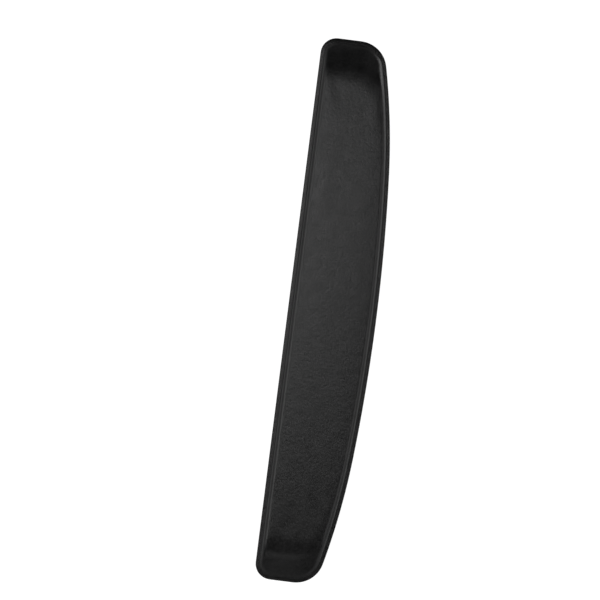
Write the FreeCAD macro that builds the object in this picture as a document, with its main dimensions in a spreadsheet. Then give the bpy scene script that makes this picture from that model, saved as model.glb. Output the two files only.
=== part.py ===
import FreeCAD, Part
import os
from math import asin, atan2, cos, degrees, radians, sin, sqrt

import Sketcher

# Keyboard wrist rest: a moulded foam bolster in a knitted cover, pressed flat along its rim and
# cut flush with the rubber sheet that it is bonded to.
#
# Frame: +X along the keyboard, to the typist's right; +Y from the typist to the keyboard;
# +Z up. The origin is the centre of the footprint, on the table.
#
# From the table up the layers are base_sheet, base_film, foam_core and knit_cover. The moulded
# form is drawn by moulded_form(), once for the outside of the cover and once at the depth of the
# cover, for the foam, so the cover keeps one thickness over the rim, the wall and the top.

# alias, value, what it is. Lengths are in millimetres and angles in degrees.
DIMENSIONS = (
    ("pad_length", 414.0, "overall, along the keyboard"),
    ("pad_width", 67.5, "overall, from the straight rear edge to the middle of the bowed front"),
    ("rear_corner_radius", 12.0, "plan radius of the two corners next to the keyboard"),
    ("front_corner_radius", 21.5, "plan radius of the two corners on the typist's side"),
    ("bow_centre_radius", 1420.0, "plan radius of the middle of the bowed front edge"),
    ("bow_centre_reach", 108.0, "from the middle to where the side arcs of the bow begin"),
    ("bow_side_radius", 550.0, "plan radius of the bow between its middle arc and the corners"),
    ("base_thickness", 2.2, "rubber sheet"),
    ("base_chamfer", 0.3, "bevel of the rubber sheet's lower edge"),
    ("film_thickness", 0.2, "hot-melt film between the foam and the rubber"),
    ("rim_foam_thickness", 1.0, "foam left under the cover along the pressed rim"),
    ("knit_thickness", 0.8, "knitted cover"),
    ("knit_chamfer", 0.3, "bevel that the hot press leaves along the cover's cut edge"),
    ("rim_width", 3.0, "pressed rim, from the cut edge to the foot of the wall"),
    ("overall_height", 18.0, "table to the level top"),
    ("wall_draft", 9.0, "lean of the wall from upright"),
    ("shoulder_radius", 5.0, "rounding from the wall to the top"),
    ("ramp_angle", 13.0, "fall of the top at the ends and the front corners"),
    ("ramp_length", 28.0, "from each end to the fold where its ramp begins"),
    ("ramp_corner_radius", 25.0, "plan radius of the fold at the front corners"),
    ("ramp_bow_radius", 500.0, "plan radius of the fold along the front"),
    ("ramp_bow_gap", 9.0, "how far the fold passes in front of the middle of the front edge"),
    ("ramp_blend_radius", 60.0, "rounding of the fold"),
    ("tool_margin", 12.0, "how far a cutting form reaches past the form that it cuts"),
)

# Heights of the layers, as expressions of the sheet's cells.
FOAM_BOTTOM = "Dims.base_thickness + Dims.film_thickness"
RIM_TOP = f"{FOAM_BOTTOM} + Dims.rim_foam_thickness + Dims.knit_thickness"

SMOOTH_WITHIN = 3.0  # degrees between two faces that run on from each other
PROBE = 0.05  # mm, the step that tells a hollow edge from a raised one
DOWN = radians(270)

doc = FreeCAD.newDocument("wrist_rest")
sheet = doc.addObject("Spreadsheet::Sheet", "Dims")
for row, (alias, value, meaning) in enumerate(DIMENSIONS, start=1):
    sheet.set(f"A{row}", alias)
    sheet.set(f"B{row}", str(value))
    sheet.setAlias(f"B{row}", alias)
    sheet.set(f"C{row}", meaning)
doc.recompute()


def now(expression):
    """What an expression of the sheet's cells comes to, as a plain number."""
    return float(sheet.evalExpression(expression))


# --- sketches -------------------------------------------------------------------------------

def new_sketch(body, name, role, lift="0"):
    """A sketch parallel to an origin plane of its body, lifted along the plane's normal."""
    sketch = body.newObject("Sketcher::SketchObject", name)
    plane = next(f for f in body.Origin.OriginFeatures if f.Role == role)
    sketch.AttachmentSupport = [(plane, "")]
    sketch.MapMode = "FlatFace"
    sketch.setExpression("AttachmentOffset.Base.z", lift)
    return sketch


def arc(centre, radius, start, end):
    """An anticlockwise arc in the sketch plane, between two angles in radians."""
    circle = Part.Circle(FreeCAD.Vector(*centre, 0), FreeCAD.Vector(0, 0, 1), radius)
    return Part.ArcOfCircle(circle, start, end)


def line(start, end):
    """A straight segment in the sketch plane."""
    return Part.LineSegment(FreeCAD.Vector(*start, 0), FreeCAD.Vector(*end, 0))


def size(sketch, name, expression, kind, *where):
    """A dimensional constraint that follows an expression of the sheet's cells."""
    index = sketch.addConstraint(Sketcher.Constraint(kind, *where, now(expression)))
    sketch.renameConstraint(index, name)
    sketch.setExpression(f"Constraints.{name}", expression)


def footprint(body, name, lift, inset="0"):
    """The plan outline: straight rear edge, square ends, round corners and a three-arc bow.

    It is drawn inset from the cut edge, and every arc keeps its centre.
    """
    sketch = new_sketch(body, name, "XY_Plane", lift)
    half_length = now(f"Dims.pad_length / 2 - ({inset})")
    rear = now(f"Dims.pad_width / 2 - ({inset})")
    rear_radius = now(f"Dims.rear_corner_radius - ({inset})")
    front_radius = now(f"Dims.front_corner_radius - ({inset})")
    bow_radius = now(f"Dims.bow_centre_radius - ({inset})")
    side_radius = now(f"Dims.bow_side_radius - ({inset})")
    swing = asin(now("Dims.bow_centre_reach / Dims.bow_centre_radius"))
    bow_y = now("Dims.bow_centre_radius - Dims.pad_width / 2")
    side_x = (bow_radius - side_radius) * sin(swing)
    side_y = bow_y - (bow_radius - side_radius) * cos(swing)
    front_x = half_length - front_radius
    front_y = side_y - sqrt((side_radius - front_radius) ** 2 - (front_x - side_x) ** 2)
    turn = atan2(front_x - side_x, side_y - front_y)
    rear_x = half_length - rear_radius
    rear_y = rear - rear_radius

    # Anticlockwise from the middle of the front.
    ring = list(sketch.addGeometry([
        arc((0, bow_y), bow_radius, DOWN - swing, DOWN + swing),
        arc((side_x, side_y), side_radius, DOWN + swing, DOWN + turn),
        arc((front_x, front_y), front_radius, DOWN + turn, radians(360)),
        line((half_length, front_y), (half_length, rear_y)),
        arc((rear_x, rear_y), rear_radius, 0, radians(90)),
        line((rear_x, rear), (-rear_x, rear)),
        arc((-rear_x, rear_y), rear_radius, radians(90), radians(180)),
        line((-half_length, rear_y), (-half_length, front_y)),
        arc((-front_x, front_y), front_radius, radians(180), DOWN - turn),
        arc((-side_x, side_y), side_radius, DOWN - turn, DOWN - swing),
    ], False))
    for this, following in zip(ring, ring[1:] + ring[:1]):
        sketch.addConstraint(Sketcher.Constraint("Tangent", this, 2, following, 1))
    bow, side, front_corner, end, rear_corner, back = ring[:6]
    rear_corner_left, end_left, front_corner_left, side_left = ring[6:]
    sketch.addConstraint([
        Sketcher.Constraint("Vertical", end),
        Sketcher.Constraint("Vertical", end_left),
        Sketcher.Constraint("PointOnObject", bow, 3, -2),
        Sketcher.Constraint("Symmetric", bow, 1, bow, 2, -2),
        Sketcher.Constraint("Symmetric", back, 2, back, 1, -2),
        Sketcher.Constraint("Equal", side, side_left),
        Sketcher.Constraint("Equal", front_corner, front_corner_left),
        Sketcher.Constraint("Equal", rear_corner, rear_corner_left),
    ])
    size(sketch, "half_length", f"Dims.pad_length / 2 - ({inset})", "DistanceX", -1, 1, end, 1)
    size(sketch, "rear", f"Dims.pad_width / 2 - ({inset})", "DistanceY", -1, 1, back, 1)
    size(sketch, "bow_centre", "Dims.bow_centre_radius - Dims.pad_width / 2", "DistanceY",
         -1, 1, bow, 3)
    size(sketch, "bow_reach", f"Dims.bow_centre_reach * (1 - ({inset}) / Dims.bow_centre_radius)",
         "DistanceX", -1, 1, bow, 2)
    size(sketch, "bow_radius", f"Dims.bow_centre_radius - ({inset})", "Radius", bow)
    size(sketch, "side_radius", f"Dims.bow_side_radius - ({inset})", "Radius", side)
    size(sketch, "front_corner", f"Dims.front_corner_radius - ({inset})", "Radius", front_corner)
    size(sketch, "rear_corner", f"Dims.rear_corner_radius - ({inset})", "Radius", rear_corner)
    return sketch


def fold_outline(body, name, lift, inset):
    """The plan of the fold round the level top: straight ends and one bow across the front.

    The rear line lies clear behind the pad, because the top stays level to the rear edge.
    """
    sketch = new_sketch(body, name, "XY_Plane", lift)
    half_length = now(f"Dims.pad_length / 2 - Dims.ramp_length - ({inset})")
    rear = now("Dims.pad_width / 2 + Dims.tool_margin")
    bow_radius = now(f"Dims.ramp_bow_radius - ({inset})")
    corner_radius = now(f"Dims.ramp_corner_radius - ({inset})")
    bow_y = now("Dims.ramp_bow_radius - Dims.pad_width / 2 - Dims.ramp_bow_gap")
    corner_x = half_length - corner_radius
    corner_y = bow_y - sqrt((bow_radius - corner_radius) ** 2 - corner_x ** 2)
    turn = atan2(corner_x, bow_y - corner_y)

    # Anticlockwise from the left end of the bow.
    bow, corner, end, back, end_left, corner_left = sketch.addGeometry([
        arc((0, bow_y), bow_radius, DOWN - turn, DOWN + turn),
        arc((corner_x, corner_y), corner_radius, DOWN + turn, radians(360)),
        line((half_length, corner_y), (half_length, rear)),
        line((half_length, rear), (-half_length, rear)),
        line((-half_length, rear), (-half_length, corner_y)),
        arc((-corner_x, corner_y), corner_radius, radians(180), DOWN - turn),
    ], False)
    sketch.addConstraint([
        Sketcher.Constraint("Tangent", bow, 2, corner, 1),
        Sketcher.Constraint("Tangent", corner, 2, end, 1),
        Sketcher.Constraint("Coincident", end, 2, back, 1),
        Sketcher.Constraint("Coincident", back, 2, end_left, 1),
        Sketcher.Constraint("Tangent", end_left, 2, corner_left, 1),
        Sketcher.Constraint("Tangent", corner_left, 2, bow, 1),
        Sketcher.Constraint("Vertical", end),
        Sketcher.Constraint("Vertical", end_left),
        Sketcher.Constraint("Symmetric", back, 1, back, 2, -2),
        Sketcher.Constraint("PointOnObject", bow, 3, -2),
        Sketcher.Constraint("Equal", corner, corner_left),
    ])
    size(sketch, "half_length", f"Dims.pad_length / 2 - Dims.ramp_length - ({inset})",
         "DistanceX", -1, 1, end, 1)
    size(sketch, "rear", "Dims.pad_width / 2 + Dims.tool_margin", "DistanceY", -1, 1, back, 1)
    size(sketch, "bow_centre", "Dims.ramp_bow_radius - Dims.pad_width / 2 - Dims.ramp_bow_gap",
         "DistanceY", -1, 1, bow, 3)
    size(sketch, "bow_radius", f"Dims.ramp_bow_radius - ({inset})", "Radius", bow)
    size(sketch, "corner_radius", f"Dims.ramp_corner_radius - ({inset})", "Radius", corner)
    return sketch


# --- features -------------------------------------------------------------------------------

def new_body(label):
    """An empty body with a label of its own."""
    body = doc.addObject("PartDesign::Body", label)
    body.Label = label
    return body


def pad(body, name, sketch, length, taper="0", downwards=False):
    """A pad of a sketch, with expressions for its length and for the taper of its walls."""
    feature = body.newObject("PartDesign::Pad", name)
    feature.Profile = sketch
    feature.setExpression("Length", length)
    feature.setExpression("TaperAngle", taper)
    feature.Reversed = downwards
    doc.recompute()
    return feature


def fillet(body, name, base, radius, edges):
    """A fillet of some edges of a feature."""
    feature = body.newObject("PartDesign::Fillet", name)
    feature.Base = (base, edges)
    feature.setExpression("Radius", radius)
    doc.recompute()
    return feature


def chamfer(body, name, base, width, edges):
    """An even bevel along some edges of a feature."""
    feature = body.newObject("PartDesign::Chamfer", name)
    feature.Base = (base, edges)
    feature.setExpression("Size", width)
    doc.recompute()
    return feature


def raised_edges(shape, wanted):
    """Names of the edges where faces meet at a raised angle, if wanted(the edge's middle)."""
    names = []
    for index, edge in enumerate(shape.Edges, start=1):
        faces = shape.ancestorsOfType(edge, Part.Face)
        middle = edge.valueAt((edge.FirstParameter + edge.LastParameter) / 2)
        if len(faces) < 2 or not wanted(middle):
            continue
        first, second = (face.normalAt(*face.Surface.parameter(middle)) for face in faces)
        if degrees(first.getAngle(second)) < SMOOTH_WITHIN:
            continue
        across = (first - second).normalize() * PROBE
        if not shape.isInside(middle + across, PROBE / 100, False):
            names.append(f"Edge{index}")
    return names


# --- the moulded form -----------------------------------------------------------------------

def top_form(label, depth):
    """The form under the top surface: level, and falling in ramps past a rounded fold."""
    body = new_body(label)
    level = f"Dims.overall_height - ({depth})"
    fold = fold_outline(body, f"{label}_fold", level,
                        f"({depth}) * tan(Dims.ramp_angle * 1 deg / 2)")
    block = pad(body, f"{label}_block", fold, level, "90 - Dims.ramp_angle", downwards=True)
    mid_height = now("Dims.overall_height / 2")
    rear = now("Dims.pad_width / 2")

    def on_fold(point):
        return point.z > mid_height and point.y < rear

    fillet(body, f"{label}_blend", block, f"Dims.ramp_blend_radius - ({depth})",
           raised_edges(block.Shape, on_fold))
    return body


def moulded_form(label, depth):
    """The bolster on its pressed rim, from the film up to a depth under the cover's outside."""
    body = new_body(label)
    rim_top = f"{RIM_TOP} - ({depth})"
    wall_line = footprint(body, f"{label}_wall_line", rim_top,
                          f"Dims.rim_width + ({depth}) * tan(45 deg - Dims.wall_draft * 1 deg / 2)")
    pad(body, f"{label}_wall", wall_line, f"Dims.overall_height + Dims.tool_margin - ({rim_top})",
        "-Dims.wall_draft")
    top = body.newObject("PartDesign::Boolean", f"{label}_top")
    top.Type = "Common"
    top.setObjects([top_form(f"{label}_top_form", depth)])
    doc.recompute()
    wall_foot = now(rim_top) + PROBE
    fillet(body, f"{label}_shoulder", top, f"Dims.shoulder_radius - ({depth})",
           raised_edges(top.Shape, lambda point: point.z > wall_foot))
    rim_line = footprint(body, f"{label}_rim_line", FOAM_BOTTOM)
    pad(body, f"{label}_rim", rim_line, f"{rim_top} - ({FOAM_BOTTOM})")
    return body


# --- the pieces -----------------------------------------------------------------------------

def base_sheet():
    """Rubber sheet under the whole footprint."""
    body = new_body("base_sheet")
    slab = pad(body, "rubber", footprint(body, "rubber_outline", "0"), "Dims.base_thickness")
    chamfer(body, "lower_edge", slab, "Dims.base_chamfer",
            raised_edges(slab.Shape, lambda point: point.z < PROBE))
    return body


def base_film():
    """Hot-melt film that bonds the foam to the rubber."""
    body = new_body("base_film")
    film_line = footprint(body, "film_outline", "Dims.base_thickness")
    pad(body, "film", film_line, "Dims.film_thickness")
    return body


def knit_cover(foam):
    """Knitted cover: what lies between its outside and the foam, flush with the cut edge."""
    outside = moulded_form("cover_outside", "0")
    rim_top = now(RIM_TOP)
    chamfer(outside, "cut_edge", outside.Tip, "Dims.knit_chamfer",
            raised_edges(outside.Shape, lambda point: abs(point.z - rim_top) < PROBE))
    cover = doc.addObject("Part::Cut", "knit_cover")
    cover.Base = outside
    cover.Tool = foam
    return cover


foam_core = moulded_form("foam_core", "Dims.knit_thickness")
pieces = [base_sheet(), base_film(), foam_core, knit_cover(foam_core)]
doc.recompute()

# --- checks and files -----------------------------------------------------------------------

for item in doc.Objects:
    if {"Invalid", "Error"} & set(item.State):
        raise RuntimeError(f"{item.Name} did not rebuild")
for piece in pieces:
    if piece.Shape.isNull() or not piece.Shape.isValid() or len(piece.Shape.Solids) != 1:
        raise RuntimeError(f"{piece.Label} is not one sound solid")

os.makedirs("parts", exist_ok=True)
for piece in pieces:
    piece.Shape.exportStep(f"parts/{piece.Label}.step")
    print(piece.Label, round(piece.Shape.Volume), "mm3")
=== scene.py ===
"""Keyboard wrist rest: a knit cover pressed over foam, bonded by a film to a gripping rubber sheet."""

import logging
import math
from dataclasses import dataclass, field
from enum import Enum

import bpy
import numpy as np
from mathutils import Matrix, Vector


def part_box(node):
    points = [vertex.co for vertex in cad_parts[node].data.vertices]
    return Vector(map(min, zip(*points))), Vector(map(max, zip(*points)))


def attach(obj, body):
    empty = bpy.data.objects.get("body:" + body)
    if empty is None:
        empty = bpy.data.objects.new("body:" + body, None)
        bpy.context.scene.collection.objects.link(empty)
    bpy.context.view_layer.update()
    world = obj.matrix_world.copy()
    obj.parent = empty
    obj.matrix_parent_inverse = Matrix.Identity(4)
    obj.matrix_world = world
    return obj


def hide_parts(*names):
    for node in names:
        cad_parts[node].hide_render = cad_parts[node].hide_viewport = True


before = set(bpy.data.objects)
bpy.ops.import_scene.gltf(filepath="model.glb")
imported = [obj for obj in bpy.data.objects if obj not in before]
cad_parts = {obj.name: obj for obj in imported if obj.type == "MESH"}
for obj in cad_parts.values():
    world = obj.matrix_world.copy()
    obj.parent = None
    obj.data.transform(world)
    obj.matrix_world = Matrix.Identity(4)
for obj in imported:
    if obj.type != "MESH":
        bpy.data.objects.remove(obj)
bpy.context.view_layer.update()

Array = np.ndarray
Socket = bpy.types.NodeSocket
Colour = tuple[float, float, float, float]
BODY = "root"
CLOTH_MAP = "cloth"
RUB_ATTRIBUTE = "rub"
STEEP_ATTRIBUTE = "steep"
FLOAT, COLOUR, VECTOR = "NodeSocketFloat", "NodeSocketColor", "NodeSocketVector"
FULL_TURN = 2 * math.pi
log = logging.getLogger("wrist_rest")


class Slot(Enum):
    """Names of three material slots of the record."""

    KNIT = "knit"
    FOAM = "foam"
    RUBBER = "rubber"


# --- Outline ---


@dataclass(frozen=True)
class Arc:
    """A round run of an outline. Angles are those that the run faces, anticlockwise from +X."""

    centre: tuple[float, float]
    radius: float
    start: float
    end: float

    def at(self, fractions: Array) -> tuple[Array, Array]:
        """Finds places on the run.

        Args:
            fractions: how far along the run each place is, from 0 to 1.

        Returns:
            The places and the outward normals there.
        """
        facing = self.start + (self.end - self.start) * fractions
        normals = np.stack([np.cos(facing), np.sin(facing)], axis=1)
        return np.array(self.centre) + self.radius * normals, normals


@dataclass(frozen=True)
class Straight:
    """A straight run of an outline."""

    start: tuple[float, float]
    end: tuple[float, float]
    facing: float

    def at(self, fractions: Array) -> tuple[Array, Array]:
        """Finds places on the run.

        Args:
            fractions: how far along the run each place is, from 0 to 1.

        Returns:
            The places and the outward normals there.
        """
        start, end = np.array(self.start), np.array(self.end)
        normal = np.array([math.cos(self.facing), math.sin(self.facing)])
        return start + (end - start) * fractions[:, None], np.tile(normal, (len(fractions), 1))


@dataclass(frozen=True)
class Outline:
    """The pad's bowed outline from above: three-arc front, straight rear, round corners. Sizes in metres."""

    length: float
    width: float
    bow_radius: float = 1.420
    bow_reach: float = 0.108
    side_radius: float = 0.550
    front_corner: float = 0.0215
    rear_corner: float = 0.012
    bow_steps: int = 96
    side_steps: int = 38
    front_corner_steps: int = 6
    rear_corner_steps: int = 5
    end_steps: int = 11

    @property
    def along(self) -> int:
        """Steps along the front, and along the rear."""
        return self.bow_steps + 2 * self.side_steps + 2 * self.front_corner_steps

    @property
    def across(self) -> int:
        """Steps across each end."""
        return self.front_corner_steps + self.end_steps + self.rear_corner_steps

    @property
    def count(self) -> int:
        """Stations all round."""
        return 2 * (self.along + self.across)

    def runs(self) -> list[tuple[Arc | Straight, int]]:
        """Lays out the outline anticlockwise from the middle of the left front corner.

        Returns:
            Each run with its number of steps.
        """
        down = 1.5 * math.pi
        swing = math.asin(self.bow_reach / self.bow_radius)
        bow_y = self.bow_radius - self.width / 2
        side_x = (self.bow_radius - self.side_radius) * math.sin(swing)
        side_y = bow_y - (self.bow_radius - self.side_radius) * math.cos(swing)
        front_x = self.length / 2 - self.front_corner
        lean = self.side_radius - self.front_corner
        front_y = side_y - math.sqrt(lean**2 - (front_x - side_x) ** 2)
        turn = math.atan2(front_y - side_y, front_x - side_x) + FULL_TURN
        middle = (turn + FULL_TURN) / 2
        rear_x, rear_y = self.length / 2 - self.rear_corner, self.width / 2 - self.rear_corner
        quarter, half = math.pi / 2, math.pi
        front_left, front_right = (-front_x, front_y), (front_x, front_y)
        rear_left, rear_right = (-rear_x, rear_y), (rear_x, rear_y)
        front_n, rear_n = self.front_corner_steps, self.rear_corner_steps
        end_x, end_y = self.length / 2, self.width / 2
        rear_steps = self.along - 2 * rear_n
        return [
            (Arc(front_left, self.front_corner, 3 * half - middle, 3 * half - turn), front_n),
            (Arc((-side_x, side_y), self.side_radius, 3 * half - turn, down - swing), self.side_steps),
            (Arc((0.0, bow_y), self.bow_radius, down - swing, down + swing), self.bow_steps),
            (Arc((side_x, side_y), self.side_radius, down + swing, turn), self.side_steps),
            (Arc(front_right, self.front_corner, turn, middle), front_n),
            (Arc(front_right, self.front_corner, middle, FULL_TURN), front_n),
            (Straight((end_x, front_y), (end_x, rear_y), 0.0), self.end_steps),
            (Arc(rear_right, self.rear_corner, 0.0, quarter / 2), rear_n),
            (Arc(rear_right, self.rear_corner, quarter / 2, quarter), rear_n),
            (Straight((rear_x, end_y), (-rear_x, end_y), quarter), rear_steps),
            (Arc(rear_left, self.rear_corner, quarter, 1.5 * quarter), rear_n),
            (Arc(rear_left, self.rear_corner, 1.5 * quarter, half), rear_n),
            (Straight((-end_x, rear_y), (-end_x, front_y), half), self.end_steps),
            (Arc(front_left, self.front_corner, half, 3 * half - middle), front_n),
        ]

    def stations(self) -> tuple[Array, Array]:
        """Places stations round the outline.

        Returns:
            Their points and outward normals, each with two columns.
        """
        found = [run.at(np.arange(steps) / steps) for run, steps in self.runs()]
        points = np.concatenate([points for points, _ in found])
        return points, np.concatenate([normals for _, normals in found])

    def numbers(self) -> Array:
        """Numbers a four-sided lattice that fills the outline: the stations first, then the points inside.

        Returns:
            The numbers, by step along and step across.
        """
        along, across = self.along, self.across
        table = np.empty((along + 1, across + 1), int)
        table[:along, 0] = np.arange(along)
        table[along, :across] = along + np.arange(across)
        table[along:0:-1, across] = along + across + np.arange(along)
        table[0, across:0:-1] = 2 * along + across + np.arange(across)
        inside = (along - 1) * (across - 1)
        table[1:-1, 1:-1] = self.count + np.arange(inside).reshape(along - 1, across - 1)
        return table

    def fill(self, loop: Array) -> Array:
        """Fills a closed row of points by transfinite interpolation between its four sides.

        Args:
            loop: one point for each station, with any number of columns.

        Returns:
            The points inside, in the order of numbers().
        """
        table = self.numbers()
        front, rear = loop[table[:, 0]], loop[table[:, -1]]
        left, right = loop[table[0]], loop[table[-1]]
        s = np.linspace(0, 1, self.along + 1)[1:-1, None, None]
        t = np.linspace(0, 1, self.across + 1)[None, 1:-1, None]
        sides = (1 - t) * front[1:-1, None] + t * rear[1:-1, None]
        ends = (1 - s) * left[None, 1:-1] + s * right[None, 1:-1]
        corners = (1 - s) * ((1 - t) * front[0] + t * rear[0]) + s * ((1 - t) * front[-1] + t * rear[-1])
        return (sides + ends - corners).reshape(-1, loop.shape[1])

    def solid(self, rows: Array, under: Array, over: Array) -> tuple[Array, Array]:
        """Closes rows of points into a solid.

        Args:
            rows: rows of one point for each station, from the lower face round the edge to the upper.
            under: the points that fill the first row.
            over: the points that fill the last row.

        Returns:
            All points, and faces of four that look outwards.
        """
        count, last = self.count, len(rows) - 1
        walls = self.walls(len(rows))
        table = self.numbers()
        inner = table >= count
        lower = np.where(inner, table + last * count, table)
        upper = np.where(inner, table + last * count + len(under), table + last * count)
        faces = [*walls, self.quads(lower)[:, ::-1], self.quads(upper)]
        return np.concatenate([rows.reshape(-1, rows.shape[2]), under, over]), np.concatenate(faces)

    def walls(self, total: int) -> list[Array]:
        """Lists the faces of four between rows of points that lie one after another.

        Args:
            total: how many rows there are.

        Returns:
            The faces between each row and the next.
        """
        around = np.arange(self.count)
        onward = (around + 1) % self.count
        bands = [np.stack([n * self.count + around, n * self.count + onward], axis=1) for n in range(total)]
        return [np.concatenate([bands[n], bands[n + 1][:, ::-1]], axis=1) for n in range(total - 1)]

    @staticmethod
    def quads(table: Array) -> Array:
        """Faces of four over a table of point numbers, looking up."""
        corners = [table[:-1, :-1], table[1:, :-1], table[1:, 1:], table[:-1, 1:]]
        return np.stack(corners, axis=-1).reshape(-1, 4)


# --- Meshes ---


def make_piece(name: str, points: Array, faces: Array, cloth: Array | None = None) -> bpy.types.Object:
    """Makes a mesh object at the origin.

    Args:
        name: the piece's name.
        points: its points, in metres.
        faces: its faces, by point number.
        cloth: each point's place on the flat cloth, in metres, or None for a piece with no cloth map.

    Returns:
        The new object, smooth shaded.
    """
    mesh = bpy.data.meshes.new(name)
    mesh.from_pydata(points.tolist(), [], faces.tolist())
    mesh.polygons.foreach_set("use_smooth", np.ones(len(mesh.polygons), bool))
    if cloth is not None:
        numbers = np.empty(len(mesh.loops), np.int32)
        mesh.loops.foreach_get("vertex_index", numbers)
        mesh.uv_layers.new(name=CLOTH_MAP).data.foreach_set("uv", cloth[numbers].astype(np.float32).ravel())
    mesh.update()
    piece = bpy.data.objects.new(name, mesh)
    bpy.context.scene.collection.objects.link(piece)
    return piece


def points_of(mesh: bpy.types.Mesh) -> Array:
    """Reads a mesh's points.

    Args:
        mesh: the mesh.

    Returns:
        The points, one in each row.
    """
    found = np.empty(3 * len(mesh.vertices), np.float32)
    mesh.vertices.foreach_get("co", found)
    return found.reshape(-1, 3).astype(float)


def mark_points(piece: bpy.types.Object, name: str, values: Array) -> None:
    """Stores one number for each point of a piece, which its materials can read.

    Args:
        piece: the mesh object.
        name: the attribute's name.
        values: the numbers, in the order of the points.
    """
    attribute = piece.data.attributes.new(name, "FLOAT", "POINT")
    attribute.data.foreach_set("value", values.astype(np.float32))


def crease_rows(piece: bpy.types.Object, row_size: int, rows: tuple[int, ...]) -> None:
    """Keeps the edges along some rows sharp when the piece is subdivided.

    Args:
        piece: the mesh object.
        row_size: how many points a row has.
        rows: the rows' numbers.
    """
    mesh = piece.data
    ends = np.empty(2 * len(mesh.edges), np.int32)
    mesh.edges.foreach_get("vertices", ends)
    where = ends.reshape(-1, 2) // row_size
    sharp = np.isin(where[:, 0], rows) & (where[:, 0] == where[:, 1])
    attribute = mesh.attributes.new("crease_edge", "FLOAT", "EDGE")
    attribute.data.foreach_set("value", sharp.astype(np.float32))


def subdivide(piece: bpy.types.Object, levels: int, sharp_angle: float) -> None:
    """Subdivides a piece smoothly for good.

    Args:
        piece: the mesh object.
        levels: how many times.
        sharp_angle: the angle past which an edge is shaded sharp, in radians.
    """
    modifier = piece.modifiers.new("round", "SUBSURF")
    modifier.levels = levels
    modifier.render_levels = levels
    bake_modifiers(piece)
    piece.data.set_sharp_from_angle(angle=sharp_angle)


def bake_modifiers(piece: bpy.types.Object) -> None:
    """Turns a piece's modifiers into its plain mesh.

    Args:
        piece: the mesh object.
    """
    evaluated = piece.evaluated_get(bpy.context.evaluated_depsgraph_get())
    old = piece.data
    made = bpy.data.meshes.new_from_object(evaluated)
    piece.modifiers.clear()
    piece.data = made
    made.name = piece.name
    bpy.data.meshes.remove(old)


def seat(piece: bpy.types.Object, node: str, finish: bpy.types.Material) -> None:
    """Puts a finished piece in place of a CAD node.

    Args:
        piece: the mesh object.
        node: the CAD node that it stands for.
        finish: its material.
    """
    piece.data.materials.clear()
    piece.data.materials.append(finish)
    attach(piece, BODY)
    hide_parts(node)


# --- Shader helpers ---


class Graph:
    """Adds nodes to a node tree, in lines of a few nodes, and joins them."""

    LINE = 12
    STEP_X = 200
    STEP_Y = -220

    def __init__(self, tree: bpy.types.NodeTree) -> None:
        """Starts on a tree.

        Args:
            tree: the tree that nodes are added to.
        """
        self.tree = tree

    def add(
        self, kind: str, inputs: dict[str | int, object] | None = None, **settings: object
    ) -> bpy.types.Node:
        """Adds a node.

        Args:
            kind: the node's type name.
            inputs: for each input, by name or number, a value or the socket that feeds it.
            **settings: properties of the node, set before its inputs.

        Returns:
            The new node.
        """
        node = self.tree.nodes.new(kind)
        line, place = divmod(len(self.tree.nodes), self.LINE)
        node.location = (self.STEP_X * place, self.STEP_Y * line)
        for name, value in settings.items():
            setattr(node, name, value)
        for name, value in (inputs or {}).items():
            self.feed(node.inputs[name], value)
        return node

    def feed(self, target: Socket, value: object) -> None:
        """Gives an input a value or joins a socket to it.

        Args:
            target: the input.
            value: a plain value or an output socket.
        """
        if isinstance(value, bpy.types.NodeSocket):
            self.tree.links.new(value, target)
        else:
            target.default_value = value

    def math(self, operation: str, *values: float | Socket) -> Socket:
        """Adds a Math node.

        Args:
            operation: the sum that it does.
            *values: its numbers or sockets, in order.

        Returns:
            Its result.
        """
        return self.add("ShaderNodeMath", dict(enumerate(values)), operation=operation).outputs[0]

    def scaled(self, vector: Socket, factor: float | Socket) -> Socket:
        """A colour or vector times a number."""
        node = self.add("ShaderNodeVectorMath", {0: vector, "Scale": factor}, operation="SCALE")
        return node.outputs["Vector"]

    def blended(self, factor: float | Socket, first: object, second: object) -> Socket:
        """Mixes two colours.

        Args:
            factor: how much of the second, from 0 to 1.
            first: a colour or a socket.
            second: a colour or a socket.

        Returns:
            The mixed colour.
        """
        node = self.add("ShaderNodeMix", data_type="RGBA")
        self.feed(node.inputs[0], factor)
        self.feed(node.inputs[6], first)
        self.feed(node.inputs[7], second)
        return node.outputs[2]

    def ranged(self, value: Socket, low: float, high: float, to_low: float, to_high: float) -> Socket:
        """Maps a number from one range to another, and holds it there.

        Args:
            value: the number.
            low: the start of its range.
            high: the end of its range.
            to_low: what the start becomes.
            to_high: what the end becomes.

        Returns:
            The mapped number.
        """
        limits = {"Value": value, "From Min": low, "From Max": high, "To Min": to_low, "To Max": to_high}
        return self.add("ShaderNodeMapRange", limits).outputs["Result"]


def new_group(name: str, inputs: dict[str, str], outputs: dict[str, str]) -> tuple[Graph, Socket, Socket]:
    """Starts a shader node group.

    Args:
        name: the group's name.
        inputs: the type of each input, by name.
        outputs: the type of each output, by name.

    Returns:
        The graph of its nodes, the sockets that bring its inputs, and those that take its outputs.
    """
    tree = bpy.data.node_groups.new(name, "ShaderNodeTree")
    for title, kind in inputs.items():
        tree.interface.new_socket(title, in_out="INPUT", socket_type=kind)
    for title, kind in outputs.items():
        tree.interface.new_socket(title, in_out="OUTPUT", socket_type=kind)
    graph = Graph(tree)
    return graph, graph.add("NodeGroupInput").outputs, graph.add("NodeGroupOutput").inputs


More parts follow.
